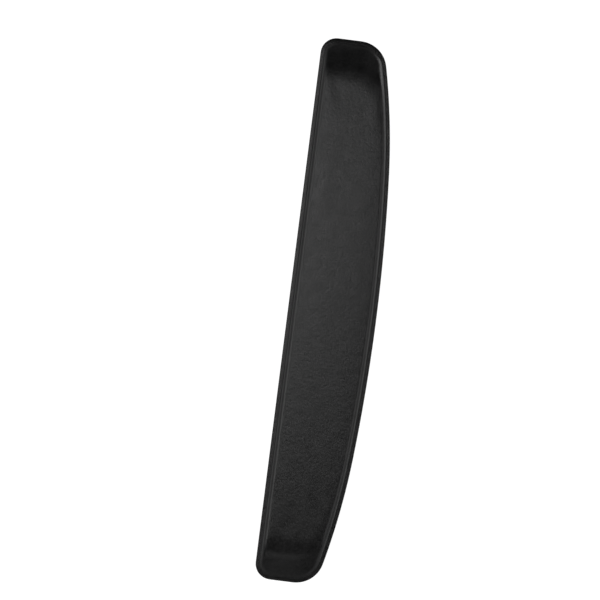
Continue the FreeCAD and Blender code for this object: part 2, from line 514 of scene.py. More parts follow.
class Effects:
    """Effects that more than one finish uses, each built once as a shader node group."""

    LEAST_TONE = 0.1
    NOISE_MIDDLE = 0.5
    RUB_START = 0.15
    RUB_SMOOTHING = -0.12
    LOOP_LEAN = 1.3
    LOOP_TOOTH = 0.28
    GAP_LOW = 0.05
    GAP_HIGH = 0.45
    CELL_LOW = 0.1
    CELL_HIGH = 0.65

    def __init__(self) -> None:
        """Builds the groups."""
        self.mottle = self.build_mottle()
        self.rubbing = self.build_rubbing()
        self.loops = self.build_loops()
        self.cells = self.build_cells()

    def build_mottle(self) -> bpy.types.NodeTree:
        """Uneven tone at two sizes, fine and broad.

        Returns:
            The group: a colour that varies, and the same variation as a number about 1.
        """
        graph, given, out = new_group(
            "mottle",
            {"Vector": VECTOR, "Colour": COLOUR, "Fine Size": FLOAT, "Broad Size": FLOAT, "Amount": FLOAT},
            {"Colour": COLOUR, "Tone": FLOAT},
        )
        tones = []
        for size, detail in (("Fine Size", 3.0), ("Broad Size", 2.0)):
            scale = graph.math("DIVIDE", 1.0, given[size])
            settings = {"Vector": given["Vector"], "Scale": scale, "Detail": detail}
            noise = graph.add("ShaderNodeTexNoise", settings)
            tones.append(graph.math("SUBTRACT", noise.outputs[0], self.NOISE_MIDDLE))
        both = graph.math("ADD", tones[0], tones[1])
        varied = graph.math("MULTIPLY_ADD", both, given["Amount"], 1.0)
        tone = graph.math("MAXIMUM", varied, self.LEAST_TONE)
        graph.feed(out["Colour"], graph.scaled(given["Colour"], tone))
        graph.feed(out["Tone"], tone)
        return graph.tree

    def build_rubbing(self) -> bpy.types.NodeTree:
        """Wear on edges and shoulders: paler and smoother where a thing is touched most.

        Returns:
            The group: a colour, and a roughness.
        """
        graph, given, out = new_group(
            "rubbing",
            {"Colour": COLOUR, "Worn Colour": COLOUR, "Rub": FLOAT, "Tone": FLOAT, "Roughness": FLOAT},
            {"Colour": COLOUR, "Roughness": FLOAT},
        )
        patchy = graph.math("MULTIPLY", given["Rub"], given["Tone"])
        worn = graph.ranged(patchy, self.RUB_START, 1.0, 0.0, 1.0)
        graph.feed(out["Colour"], graph.blended(worn, given["Colour"], given["Worn Colour"]))
        smoother = graph.math("MULTIPLY_ADD", worn, self.RUB_SMOOTHING, 1.0)
        graph.feed(out["Roughness"], graph.math("MULTIPLY", given["Roughness"], smoother))
        return graph.tree

    def build_loops(self) -> bpy.types.NodeTree:
        """Jersey knit: rows of leaning loop legs.

        Returns:
            The group: the yarn's height from 0 to 1, and how far a place is in a gap between yarns, where
                the knit gets painted shade.
        """
        graph, given, out = new_group(
            "loops",
            {"Vector": VECTOR, "Wale": FLOAT, "Course": FLOAT},
            {"Height": FLOAT, "Gap Shade": FLOAT},
        )
        place = graph.add("ShaderNodeSeparateXYZ", {0: given["Vector"]}).outputs
        wale = graph.math("FRACT", graph.math("DIVIDE", place["Y"], given["Wale"]))
        side = graph.math("ABSOLUTE", graph.math("SUBTRACT", wale, 0.5))
        leg = graph.math("SINE", graph.math("MULTIPLY", side, FULL_TURN))
        course = graph.math("DIVIDE", place["X"], given["Course"])
        leaning = graph.math("MULTIPLY_ADD", side, self.LOOP_LEAN, course)
        wave = graph.math("COSINE", graph.math("MULTIPLY", leaning, FULL_TURN))
        tooth = graph.math("MULTIPLY_ADD", wave, self.LOOP_TOOTH, 1.0 - self.LOOP_TOOTH)
        height = graph.math("MULTIPLY", leg, tooth)
        graph.feed(out["Height"], height)
        graph.feed(out["Gap Shade"], graph.ranged(height, self.GAP_LOW, self.GAP_HIGH, 1.0, 0.0))
        return graph.tree

    def build_cells(self) -> bpy.types.NodeTree:
        """Open cells of cut foam, or the specks of a bonded film.

        Returns:
            The group: the walls' height from 0 to 1, and how far a place is inside a cell, which places
                painted shade in the foam's cells and specks on the film.
        """
        graph, given, out = new_group(
            "cells",
            {"Vector": VECTOR, "Cell": FLOAT},
            {"Height": FLOAT, "Hollow Shade And Specks": FLOAT},
        )
        scale = graph.math("DIVIDE", 1.0, given["Cell"])
        near = graph.add("ShaderNodeTexVoronoi", {"Vector": given["Vector"], "Scale": scale}, feature="F1")
        wall = graph.ranged(near.outputs["Distance"], self.CELL_LOW, self.CELL_HIGH, 0.0, 1.0)
        graph.feed(out["Height"], wall)
        graph.feed(out["Hollow Shade And Specks"], graph.math("SUBTRACT", 1.0, wall))
        return graph.tree


def group_node(graph: Graph, tree: bpy.types.NodeTree, inputs: dict[str, object]) -> dict[str, Socket]:
    """Places a shader node group in a material.

    Args:
        graph: the material's graph.
        tree: the group.
        inputs: its values or sockets by name.

    Returns:
        Its outputs by name.
    """
    node = graph.add("ShaderNodeGroup", node_tree=tree)
    for name, value in inputs.items():
        graph.feed(node.inputs[name], value)
    return {socket.name: socket for socket in node.outputs}


def new_material(name: str) -> tuple[bpy.types.Material, Graph, Socket]:
    """Starts a material.

    Args:
        name: its name.

    Returns:
        The material, its graph, and the socket that takes its surface.
    """
    material = bpy.data.materials.new(name)
    material.use_nodes = True
    material.node_tree.nodes.clear()
    graph = Graph(material.node_tree)
    return material, graph, graph.add("ShaderNodeOutputMaterial").inputs["Surface"]


def grey(value: float) -> Colour:
    """A neutral colour of a linear value."""
    return (value, value, value, 1.0)


# --- Finishes ---


@dataclass(frozen=True)
class Finish:
    """What every finish has: a colour, uneven tone at two sizes, and a roughness. Sizes in metres."""

    name: str
    colour: Colour
    fine_mottle: float
    broad_mottle: float
    mottling: float
    roughness: float

    def mottled(
        self, graph: Graph, effects: Effects, place: Socket, colour: Colour | Socket
    ) -> dict[str, Socket]:
        """Makes a colour uneven.

        Args:
            graph: the material's graph.
            effects: the shared shader groups.
            place: where the material is, in metres.
            colour: a colour or a socket.

        Returns:
            The uneven colour and its tone, by name.
        """
        sizes = {"Fine Size": self.fine_mottle, "Broad Size": self.broad_mottle, "Amount": self.mottling}
        return group_node(graph, effects.mottle, {"Vector": place, "Colour": colour, **sizes})

    @staticmethod
    def bump(graph: Graph, height: Socket, depth: float, strength: float = 1.0) -> Socket:
        """Turns a height into a relief.

        Args:
            graph: the material's graph.
            height: the height, where 1 is the full depth.
            depth: the relief's depth.
            strength: how much of the relief is used.

        Returns:
            The normal.
        """
        relief = {"Height": height, "Strength": strength, "Distance": depth}
        return graph.add("ShaderNodeBump", relief).outputs["Normal"]

    def skin(self, graph: Graph, effects: Effects) -> dict[str, object]:
        """Works out the surface. Each finish has its own.

        Args:
            graph: the material's graph.
            effects: the shared shader groups.

        Returns:
            The values and sockets of the surface, by name.
        """
        raise NotImplementedError

    def material(self, effects: Effects) -> bpy.types.Material:
        """Builds the material.

        Args:
            effects: the shared shader groups.

        Returns:
            The material.
        """
        made, graph, surface = new_material(self.name)
        skin = self.skin(graph, effects)
        graph.feed(surface, graph.add("ShaderNodeBsdfPrincipled", skin).outputs["BSDF"])
        return made


@dataclass(frozen=True)
class KnitFinish(Finish):
    """Black microfibre jersey on the cover, with painted shade in the gaps between its yarns. Sizes in
    metres.

    The relief is a share of yarn and a share of mottling, each times the same small depth.
    """

    name: str = "black_jersey"
    colour: Colour = (0.0046, 0.0046, 0.0047, 1.0)
    worn_colour: Colour = (0.0068, 0.0068, 0.0069, 1.0)
    # Painted shade: a darker colour put in the gaps between yarns, where shade falls.
    gap_shade_colour: Colour = (0.002, 0.002, 0.002, 1.0)
    wale: float = 0.00062
    course: float = 0.00048
    fine_mottle: float = 0.0021
    broad_mottle: float = 0.009
    mottling: float = 1.6
    roughness: float = 0.335
    side_roughness: float = 0.8
    specular: float = 0.19
    sheen: float = 0.01
    sheen_roughness: float = 0.3
    gloss_mottling: float = 0.28
    relief: float = 0.00004
    yarn_share: float = 0.3
    mottle_share: float = 1.9

    def skin(self, graph: Graph, effects: Effects) -> dict[str, object]:
        """Works out the cover's surface.

        Args:
            graph: the material's graph.
            effects: the shared shader groups.

        Returns:
            The values and sockets of the surface, by name.
        """
        cloth = graph.add("ShaderNodeUVMap", uv_map=CLOTH_MAP).outputs["UV"]
        rub = graph.add("ShaderNodeAttribute", attribute_name=RUB_ATTRIBUTE).outputs["Fac"]
        loops = group_node(graph, effects.loops, {"Vector": cloth, "Wale": self.wale, "Course": self.course})
        # Painted shade: the colour darkens in the gaps between yarns.
        yarn = graph.blended(loops["Gap Shade"], self.colour, self.gap_shade_colour)
        mottle = self.mottled(graph, effects, cloth, yarn)
        worn = {"Worn Colour": self.worn_colour, "Rub": rub, "Roughness": self.roughness}
        rubbed = group_node(graph, effects.rubbing, {**mottle, **worn})
        steep = graph.add("ShaderNodeAttribute", attribute_name=STEEP_ATTRIBUTE).outputs["Fac"]
        gloss = graph.math("MULTIPLY_ADD", mottle["Tone"], self.gloss_mottling, 1.0 - self.gloss_mottling)
        level = graph.math("MULTIPLY", rubbed["Roughness"], gloss)
        rougher = graph.math("SUBTRACT", self.side_roughness, level)
        yarns = graph.math("MULTIPLY", loops["Height"], self.yarn_share)
        lift = graph.math("MULTIPLY_ADD", mottle["Tone"], self.mottle_share, yarns)
        return {
            "Base Color": rubbed["Colour"],
            "Roughness": graph.math("MULTIPLY_ADD", steep, rougher, level),
            "Specular IOR Level": self.specular,
            "Sheen Weight": self.sheen,
            "Sheen Roughness": self.sheen_roughness,
            "Normal": self.bump(graph, lift, self.relief),
        }


@dataclass(frozen=True)
class FoamFinish(Finish):
    """Dark open-cell foam, seen at its cut edge, with painted shade inside its cells. Sizes in metres."""

    name: str = "dark_foam"
    colour: Colour = (0.018, 0.018, 0.019, 1.0)
    # Painted shade: the darker colour inside the foam's cells, where shade falls.
    hollow_shade_colour: Colour = (0.004, 0.004, 0.004, 1.0)
    cell: float = 0.00032
    fine_mottle: float = 0.0009
    broad_mottle: float = 0.006
    mottling: float = 0.5
    roughness: float = 0.85
    specular: float = 0.3
    cell_depth: float = 0.00008

    def skin(self, graph: Graph, effects: Effects) -> dict[str, object]:
        """Works out the foam's surface.

        Args:
            graph: the material's graph.
            effects: the shared shader groups.

        Returns:
            The values and sockets of the surface, by name.
        """
        place = graph.add("ShaderNodeTexCoord").outputs["Object"]
        cells = group_node(graph, effects.cells, {"Vector": place, "Cell": self.cell})
        # Painted shade: the colour darkens inside the cells.
        shade = graph.blended(cells["Hollow Shade And Specks"], self.colour, self.hollow_shade_colour)
        mottle = self.mottled(graph, effects, place, shade)
        return {
            "Base Color": mottle["Colour"],
            "Roughness": graph.math("MULTIPLY", mottle["Tone"], self.roughness),
            "Specular IOR Level": self.specular,
            "Normal": self.bump(graph, cells["Height"], self.cell_depth),
        }


@dataclass(frozen=True)
class FilmFinish(Finish):
    """Smoky hot-melt bonding film, seen as a hairline between foam and rubber. Sizes in metres."""

    name: str = "bonding_film"
    colour: Colour = (0.03, 0.029, 0.027, 1.0)
    speck_colour: Colour = (0.012, 0.012, 0.012, 1.0)
    speck: float = 0.0005
    fine_mottle: float = 0.0012
    broad_mottle: float = 0.009
    mottling: float = 0.4
    roughness: float = 0.42
    ripple: float = 0.00002

    def skin(self, graph: Graph, effects: Effects) -> dict[str, object]:
        """Works out the film's surface.

        Args:
            graph: the material's graph.
            effects: the shared shader groups.

        Returns:
            The values and sockets of the surface, by name.
        """
        place = graph.add("ShaderNodeTexCoord").outputs["Object"]
        specks = group_node(graph, effects.cells, {"Vector": place, "Cell": self.speck})
        shade = graph.blended(specks["Hollow Shade And Specks"], self.colour, self.speck_colour)
        mottle = self.mottled(graph, effects, place, shade)
        return {
            "Base Color": mottle["Colour"],
            "Roughness": graph.math("MULTIPLY", mottle["Tone"], self.roughness),
            "Normal": self.bump(graph, mottle["Tone"], self.ripple),
        }


@dataclass(frozen=True)
class RubberFinish(Finish):
    """Matt black rubber of the base, with a fine leathery grain and specks of dust. Sizes in metres."""

    name: str = "black_rubber"
    colour: Colour = (0.016, 0.016, 0.0165, 1.0)
    worn_colour: Colour = (0.034, 0.034, 0.035, 1.0)
    dust_colour: Colour = (0.075, 0.072, 0.068, 1.0)
    grain: float = 0.0007
    fine_mottle: float = 0.0018
    broad_mottle: float = 0.02
    mottling: float = 0.45
    dust: float = 0.0045
    dust_detail: float = 6.0
    dust_from: float = 0.66
    dust_to: float = 0.74
    dust_most: float = 0.6
    roughness: float = 0.68
    specular: float = 0.4
    grain_depth: float = 0.00005
    grain_strength: float = 0.8

    def skin(self, graph: Graph, effects: Effects) -> dict[str, object]:
        """Works out the rubber's surface.

        Args:
            graph: the material's graph.
            effects: the shared shader groups.

        Returns:
            The values and sockets of the surface, by name.
        """
        place = graph.add("ShaderNodeTexCoord").outputs["Object"]
        rub = graph.add("ShaderNodeAttribute", attribute_name=RUB_ATTRIBUTE).outputs["Fac"]
        grain = group_node(graph, effects.cells, {"Vector": place, "Cell": self.grain})
        mottle = self.mottled(graph, effects, place, self.colour)
        patches = {"Vector": place, "Scale": 1 / self.dust, "Detail": self.dust_detail}
        specks = graph.add("ShaderNodeTexNoise", patches).outputs[0]
        share = graph.ranged(specks, self.dust_from, self.dust_to, 0.0, self.dust_most)
        dusty = graph.blended(share, mottle["Colour"], self.dust_colour)
        worn = {"Worn Colour": self.worn_colour, "Rub": rub, "Roughness": self.roughness}
        rubbed = group_node(graph, effects.rubbing, {"Colour": dusty, "Tone": mottle["Tone"], **worn})
        return {
            "Base Color": rubbed["Colour"],
            "Roughness": rubbed["Roughness"],
            "Specular IOR Level": self.specular,
            "Normal": self.bump(graph, grain["Height"], self.grain_depth, self.grain_strength),
        }


# --- Pressed pad: cover and foam ---


@dataclass(frozen=True)
class Fold:
    """The line outside which the pad's top falls away, at the ends and the front corners. Sizes in metres.

    The top falls at a slope past the line, and from a little further out by the curl as well, a
    rise over run that it takes on gradually over the curl's length.
    """

    end: float
    bow_low: float
    bow_radius: float = 0.500
    corner: float = 0.025
    slope: float = math.radians(13)
    blend: float = 0.060
    curl: float = 0.42
    curl_from: float = 0.003
    curl_length: float = 0.008

    def outside(self, places: Array) -> Array:
        """Measures how far places lie outside the line.

        Args:
            places: points with two columns.

        Returns:
            The distances, negative inside.
        """
        x, y = np.abs(places[:, 0]), places[:, 1]
        bow_y = self.bow_low + self.bow_radius
        corner_x = self.end - self.corner
        reach = self.bow_radius - self.corner
        corner_y = bow_y - math.sqrt(reach**2 - corner_x**2)
        past_bow = x * (bow_y - corner_y) > (bow_y - y) * corner_x
        from_bow = np.hypot(x, y - bow_y) - self.bow_radius
        from_corner = np.hypot(x - corner_x, y - corner_y) - self.corner
        return np.where(y > corner_y, x - self.end, np.where(past_bow, from_corner, from_bow))

    def drop(self, places: Array) -> Array:
        """Finds how far the top has fallen, with a round blend along the line.

        Args:
            places: points with two columns.

        Returns:
            The falls, in metres.
        """
        out = self.outside(places)
        contact = self.blend * math.tan(self.slope / 2)
        steep = math.tan(self.slope)
        rounded = (np.clip(out, -contact, contact) + contact) ** 2 / (4 * contact)
        past = np.maximum(out - self.curl_from, 0.0)
        gradual = past**2 / (2 * self.curl_length)
        curled = np.where(past > self.curl_length, past - self.curl_length / 2, gradual)
        return steep * np.where(out > contact, out, rounded) + self.curl * curled


@dataclass(frozen=True)
class Swelling:
    """Settings of the cloth simulation, and how far in metres it may move the cover in the end."""

    frames: int = 20
    steps: int = 6
    mass: float = 0.02
    pressure: float = 4.0
    stretching: float = 15.0
    bending: float = 0.5
    cap: float = 0.0006


@dataclass(frozen=True)
class Rubbing:
    """Where the cover is rubbed: round the shoulder, by its share of the pad's height, and on its edge."""

    height: float = 0.86
    spread: float = 0.12
    shoulder: float = 0.55
    everywhere: float = 0.35
    edge: float = 0.35


@dataclass
class Pad:
    """The pressed pad: a knit cover with one thickness over a foam core. Sizes in metres."""

    outline: Outline
    bottom: float
    foam_rim_top: float
    top: float
    cloth: float = 0.0008
    rim_width: float = 0.003
    side_fall: float = 0.00015
    end_fall: float = 0.0008
    rim_crown: float = 1.5
    draft: float = math.radians(5)
    shoulder: float = 0.0030
    wall_least: float = 0.00006
    end_rise: float = 0.0004
    cut_round: float = 0.0003
    start_lower: float = 0.0003
    swelling: Swelling = Swelling()
    fold_from_end: float = 0.028
    fold_gap: float = 0.009
    side_from: float = math.radians(30)
    side_to: float = math.radians(68)
    gap: float = 0.00002
    rim_steps: tuple[float, ...] = (0.3, 0.6, 0.9)
    shoulder_steps: tuple[float, ...] = (1.0, 0.84, 0.67, 0.5, 0.33, 0.17, 0.0)
    level_step: float = 0.0004
    reach_rounds: int = 4
    rubbing: Rubbing = Rubbing()
    edge_share: float = 0.3
    sharp_angle: float = math.radians(60)
    points: Array = field(init=False)
    normals: Array = field(init=False)
    fall: Array = field(init=False)
    fold: Fold = field(init=False)

    def __post_init__(self) -> None:
        """Works out the stations, how far the rim falls outwards at each, and the fold."""
        self.points, self.normals = self.outline.stations()
        self.fall = self.side_fall + (self.end_fall - self.side_fall) * self.normals[:, 0] ** 2
        self.fold = Fold(
            end=self.outline.length / 2 - self.fold_from_end, bow_low=-self.outline.width / 2 - self.fold_gap
        )

    @property
    def rim_top(self) -> float:
        """Height of the pressed rim's top."""
        return self.foam_rim_top + self.cloth

    def level(self, places: Array) -> Array:
        """Height of the pad's top at some places, leaving out its sides."""
        return np.maximum(self.top - self.start_lower - self.fold.drop(places), self.rim_top + self.end_rise)

    def reach(self, level: Array) -> Array:
        """Finds how far in from the rim the shoulder ends.

        Args:
            level: the heights of the top.

        Returns:
            The distances. Where the top is too low for a wall, the shoulder starts at the rim.
        """
        rise = level - self.shoulder - self.rim_top
        with_wall = rise * math.tan(self.draft) + self.shoulder / math.cos(self.draft)
        no_wall = np.sqrt(np.maximum(self.shoulder**2 - rise**2, 0.0)) + self.wall_least
        return np.where(rise > -self.shoulder * math.sin(self.draft), with_wall, no_wall)

    def turn(self, reach: Array) -> Array:
        """The angle that the shoulder turns through, for how far in it ends."""
        most = math.cos(self.draft)
        return np.arcsin(np.clip((reach - self.wall_least) / self.shoulder, 0.0, most))

    def height(self, places: Array, inset: Array) -> Array:
        """Height of the skin.

        Args:
            places: points with two columns.
            inset: how far in from the outline each one is.

        Returns:
            The heights.
        """
        level = self.level(places)
        reach = self.reach(level)
        up = inset - self.rim_width
        wall_end = reach - self.shoulder * np.sin(self.turn(reach))
        walled = level - self.shoulder - self.rim_top > -self.shoulder * math.sin(self.draft)
        wall = self.rim_top + up / math.tan(self.draft)
        rounded = level - self.shoulder + np.sqrt(np.maximum(self.shoulder**2 - (reach - up) ** 2, 0.0))
        risen = np.where(walled & (up < wall_end), wall, np.where(up < reach, rounded, level))
        outward = np.clip(-up / self.rim_width, 0.0, 1.0)
        return np.where(up <= 0, self.rim_top - self.fall * outward**self.rim_crown, risen)

    def row(self, inset: Array | float) -> Array:
        """Places a row of skin points.

        Args:
            inset: how far in from the outline they lie.

        Returns:
            One point for each station.
        """
        inset = np.broadcast_to(inset, len(self.points)).astype(float)
        places = self.points - inset[:, None] * self.normals
        return np.column_stack([places, self.height(places, inset)])

    def edge_row(self, inset: float, height: Array | float) -> Array:
        """A row of points on the cut edge."""
        places = self.points - inset * self.normals
        return np.column_stack([places, np.broadcast_to(height, len(places))])

    def skin_rows(self) -> Array:
        """Places the skin's rows from the cut edge's rounding inwards, the crease's row after the rim's.

        Returns:
            The rows, with one point for each station.
        """
        reach = np.full(len(self.points), self.shoulder)
        for _ in range(self.reach_rounds):
            ends = self.points - (self.rim_width + reach)[:, None] * self.normals
            reach = self.reach(self.level(ends))
        turn = self.turn(reach)
        start = reach - self.shoulder * np.sin(turn)
        rim = [self.rim_width * step for step in self.rim_steps]
        insets = [self.cut_round, *rim, self.rim_width, self.rim_width + start / 2]
        far = self.rim_width + reach
        insets += [far - self.shoulder * np.sin(turn * step) for step in self.shoulder_steps]
        insets.append(far + self.level_step)
        return np.stack([self.row(inset) for inset in insets])

    @staticmethod
    def crease_tilt(rows: Array, crease: int) -> Array:
        """How steeply the skin rises from each station of its crease.

        Args:
            rows: rows of skin points.
            crease: the crease row's number.

        Returns:
            The angles.
        """
        step = rows[crease + 1] - rows[crease]
        return np.arctan2(step[:, 2], np.hypot(step[:, 0], step[:, 1]))

    def unrolled(self, rows: Array) -> Array:
        """Where each row lies on the flat cloth before it was pressed.

        Args:
            rows: rows of points from the edge inwards.

        Returns:
            Rows of places, in metres.
        """
        steps = np.linalg.norm(rows[1:] - rows[:-1], axis=2)
        outward = np.concatenate([np.cumsum(steps[::-1], axis=0)[::-1], np.zeros((1, rows.shape[1]))])
        return rows[-1, :, :2] + outward[:, :, None] * self.normals

    def swell(self, points: Array, faces: Array, held: Array) -> Array:
        """Lets the foam push the cover out a little, by a cloth simulation.

        Args:
            points: the skin's points.
            faces: its faces.
            held: which points stay where they are.

        Returns:
            The points after the simulation, drawn back in one proportion so that none moves past the cap.
        """
        scene = bpy.context.scene
        piece = make_piece("swelling", points, faces)
        group = piece.vertex_groups.new(name="held")
        group.add(np.flatnonzero(held).tolist(), 1.0, "REPLACE")
        modifier = piece.modifiers.new("cloth", "CLOTH")
        cloth = modifier.settings
        cloth.quality = self.swelling.steps
        cloth.mass = self.swelling.mass
        cloth.vertex_group_mass = group.name
        cloth.pin_stiffness = 1.0
        cloth.use_pressure = True
        cloth.uniform_pressure_force = self.swelling.pressure
        cloth.tension_stiffness = self.swelling.stretching
        cloth.compression_stiffness = self.swelling.stretching
        cloth.bending_stiffness = self.swelling.bending
        cloth.effector_weights.gravity = 0.0
        modifier.point_cache.frame_start = 1
        modifier.point_cache.frame_end = self.swelling.frames
        for number in range(1, self.swelling.frames + 1):
            scene.frame_set(number)
        evaluated = piece.evaluated_get(bpy.context.evaluated_depsgraph_get())
        moved = points_of(evaluated.data) - points
        scene.frame_set(1)
        mesh = piece.data
        bpy.data.objects.remove(piece)
        bpy.data.meshes.remove(mesh)
        furthest = np.linalg.norm(moved, axis=1).max()
        log.info("cover swells by up to %.2f mm before it is capped", 1000 * furthest)
        return points + moved * min(1.0, self.swelling.cap / furthest)

    def build(self) -> tuple[bpy.types.Object, bpy.types.Object]:
        """Builds the cover and the foam.

        Returns:
            The cover and the foam core.
        """
        outline, count = self.outline, self.outline.count
        rows = self.skin_rows()
        inside = outline.fill(rows[-1, :, :2])
        middle = np.column_stack([inside, self.level(inside)])
        row_total = len(rows)
        table = outline.numbers() + (row_total - 1) * count
        faces = np.concatenate([*outline.walls(row_total), outline.quads(table)])
        flat = np.concatenate([rows.reshape(-1, 3), middle])
        crease = len(self.rim_steps) + 1
        held = np.arange(len(flat)) < (crease + 2) * count
        swollen = self.swell(flat, faces, held)
        normals = self.point_normals(swollen, faces)
        steep = self.steepness(normals)
        depth = np.full(len(flat), self.cloth)
        normals[: crease * count] = (0.0, 0.0, 1.0)
        depth[crease * count : (crease + 1) * count] /= np.cos(self.crease_tilt(rows, crease) / 2)
        lining = swollen - depth[:, None] * normals
        cloth_rows = self.unrolled(rows)
        return (
            self.build_cover(swollen, lining, steep, cloth_rows, inside),
            self.build_foam(lining, normals, row_total),
        )

    @staticmethod
    def point_normals(points: Array, faces: Array) -> Array:
        """Finds the normals of a surface at its points.

        Args:
            points: its points.
            faces: its faces, each with four sides.

        Returns:
            Unit normals.
        """
        first, second, third, fourth = (points[faces[:, corner]] for corner in range(4))
        across = np.cross(third - first, fourth - second)
        normals = np.zeros_like(points)
        for corner in range(4):
            np.add.at(normals, faces[:, corner], across)
        return normals / np.linalg.norm(normals, axis=1, keepdims=True)

    def steepness(self, normals: Array) -> Array:
        """How steep the skin is at its points, from 0 where it is level to 1 on its sides."""
        tilt = np.arccos(np.clip(normals[:, 2], -1.0, 1.0))
        return np.clip((tilt - self.side_from) / (self.side_to - self.side_from), 0.0, 1.0)

    def build_cover(
        self, skin: Array, lining: Array, steep: Array, cloth: Array, inside: Array
    ) -> bpy.types.Object:
        """Builds the knit cover as a closed sheet of one thickness with a cut edge.

        Args:
            skin: the outer points.
            lining: the inner points.
            steep: the outer points' steepness.
            cloth: the rows' places on the flat cloth.
            inside: the lattice's places on the flat cloth.

        Returns:
            The cover.
        """
        count, row_total = self.outline.count, len(cloth)
        split = row_total * count
        outer = skin[:split].reshape(row_total, count, 3)
        inner = lining[:split].reshape(row_total, count, 3)
        edge_top = self.rim_top - self.fall
        edge = [
            self.edge_row(0.0, edge_top - self.cloth),
            self.edge_row(0.0, edge_top - self.cut_round),
            self.edge_row(self.cut_round * self.edge_share, edge_top - self.cut_round * self.edge_share),
        ]
        rows = np.concatenate([inner[::-1], np.stack(edge), outer])
        points, faces = self.outline.solid(rows, lining[split:], skin[split:])
        rim_edge = cloth[0] + self.cut_round * self.normals
        drops = [rim_edge + drop * self.normals for drop in (self.cloth, self.cut_round, 0.0)]
        flat_rows = np.concatenate([cloth[::-1], np.stack(drops), cloth])
        flat = np.concatenate([flat_rows.reshape(-1, 2), inside, inside])
        cover = make_piece("knit_cover_sheet", points, faces, cloth=flat)
        mark_points(cover, RUB_ATTRIBUTE, self.rub(points, split))
        hidden = [np.zeros(split), np.ones(len(edge) * count)]
        shown = [steep[:split], np.zeros(len(inside)), steep[split:]]
        mark_points(cover, STEEP_ATTRIBUTE, np.concatenate([*hidden, *shown]))
        crease_rows(cover, count, (row_total,))
        subdivide(cover, levels=1, sharp_angle=self.sharp_angle)
        return cover

    def rub(self, points: Array, split: int) -> Array:
        """How much wrists and sleeves rub each point of the cover: most on the front shoulder.

        Args:
            points: the cover's points.
            split: how many points its skin has in rows.

        Returns:
            A number from 0 to 1 for each point.
        """
        height = (points[:, 2] - self.rim_top) / (self.top - self.rim_top)
        shoulder = np.exp(-(((height - self.rubbing.height) / self.rubbing.spread) ** 2))
        front = np.clip(-points[:, 1] / (self.outline.width / 2), 0.0, 1.0)
        count = self.outline.count
        edge = np.zeros(len(points))
        # The upper two rows of the cut edge, and the skin's first.
        edge[split + count : split + 4 * count] = 1.0
        forward = self.rubbing.everywhere + (1.0 - self.rubbing.everywhere) * front
        rubbed = self.rubbing.shoulder * shoulder * forward + self.rubbing.edge * edge
        return np.clip(rubbed, 0.0, 1.0)

    def build_foam(self, lining: Array, normals: Array, row_total: int) -> bpy.types.Object:
        """Builds the foam core as a closed solid that fills the cover.

        Args:
            lining: the cover's inner points.
            normals: the skin's normals.
            row_total: how many rows the skin has before its lattice.

        Returns:
            The foam core.
        """
        count = self.outline.count
        split = row_total * count
        top = lining - self.gap * normals
        upper = top[:split].reshape(row_total, count, 3)
        edge = [
            self.edge_row(0.0, self.bottom),
            self.edge_row(0.0, self.foam_rim_top - self.fall - self.gap),
        ]
        rows = np.concatenate([np.stack(edge), upper])
        places = self.outline.fill(self.points)
        under = np.column_stack([places, np.full(len(places), self.bottom)])
        points, faces = self.outline.solid(rows, under, top[split:])
        foam = make_piece("foam_core_pad", points, faces)
        foam.data.set_sharp_from_angle(angle=self.sharp_angle)
        return foam


# --- Base: rubber sheet with studs for grip ---


# A stud is kept where a ray straight up, from this far below it, meets the plate within reach.
LOOK_FROM = 0.001
LOOK_FAR = 0.01
DOT_RADIUS = 0.0001


